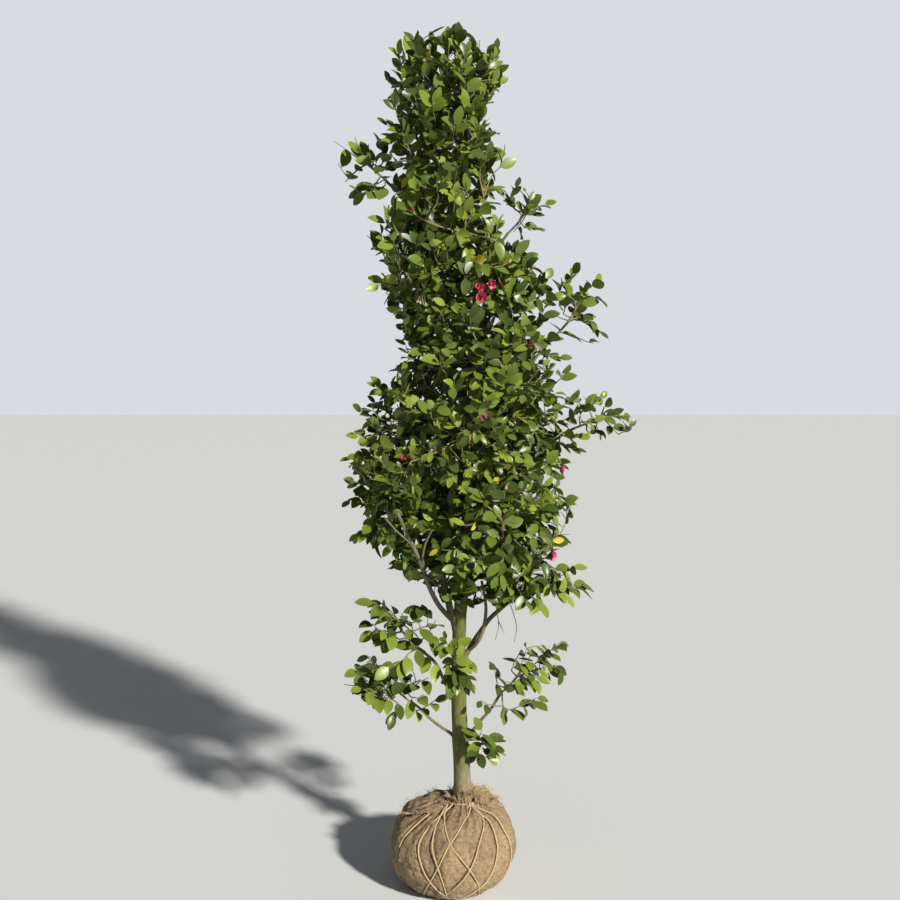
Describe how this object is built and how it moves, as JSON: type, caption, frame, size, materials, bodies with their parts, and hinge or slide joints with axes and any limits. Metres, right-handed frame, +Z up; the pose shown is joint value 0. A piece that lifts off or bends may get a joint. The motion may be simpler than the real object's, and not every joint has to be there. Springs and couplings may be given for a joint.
{
  "type": "camellia shrub",
  "caption": "Narrow upright evergreen flowering shrub with a single trunk, lifted and standing on its root ball, which is wrapped in jute and laced with twine.",
  "frame": {"origin": "middle of the root ball's flat underside", "axes": "+Z up along the trunk, -Y towards the side seen in the picture, +X to the viewer's right"},
  "size_m": [0.702, 0.4472, 2.0344],
  "materials": {
    "jute": "matt",
    "twine": "matt",
    "bark": "matt",
    "branch_bark": "matt",
    "foliage": "glossy"
  },
  "bodies": {
    "root": {"ball_twine": "twine", "bough_lower_back": "branch_bark", "bough_lower_front": "branch_bark", "bough_lower_left": "branch_bark", "bough_middle_left": "branch_bark", "bough_middle_right": "branch_bark", "bough_shoulder_front": "branch_bark", "bough_skirt_right": "branch_bark", "bough_upper_left": "branch_bark", "bough_upper_right": "branch_bark", "bough_waist_front": "branch_bark", "branch_left_lower": "branch_bark", "branch_left_top": "branch_bark", "branch_left_upper": "branch_bark", "branch_right": "branch_bark", "branch_right_high": "branch_bark", "branch_right_middle": "branch_bark", "branch_right_top": "branch_bark", "high_left": "foliage", "high_right": "foliage", "lower_back": "foliage", "lower_front": "foliage", "lower_left": "foliage", "middle_front": "foliage", "middle_left": "foliage", "middle_right": "foliage", "root_ball": "jute", "shoulder_back": "foliage", "shoulder_front": "foliage", "skirt_left": "foliage", "skirt_right": "foliage", "spray_left_lower": "foliage", "spray_left_upper": "foliage", "spray_right": "foliage", "sprig_left_top": "foliage", "sprig_right_high": "foliage", "sprig_right_middle": "foliage", "sprig_right_top": "foliage", "top_tip": "foliage", "trunk": "bark", "trunk_sprout": "foliage", "trunk_tuft": "foliage", "upper_left": "foliage", "upper_right": "foliage", "waist_back": "foliage", "waist_front": "foliage"}
  },
  "joints": []
}
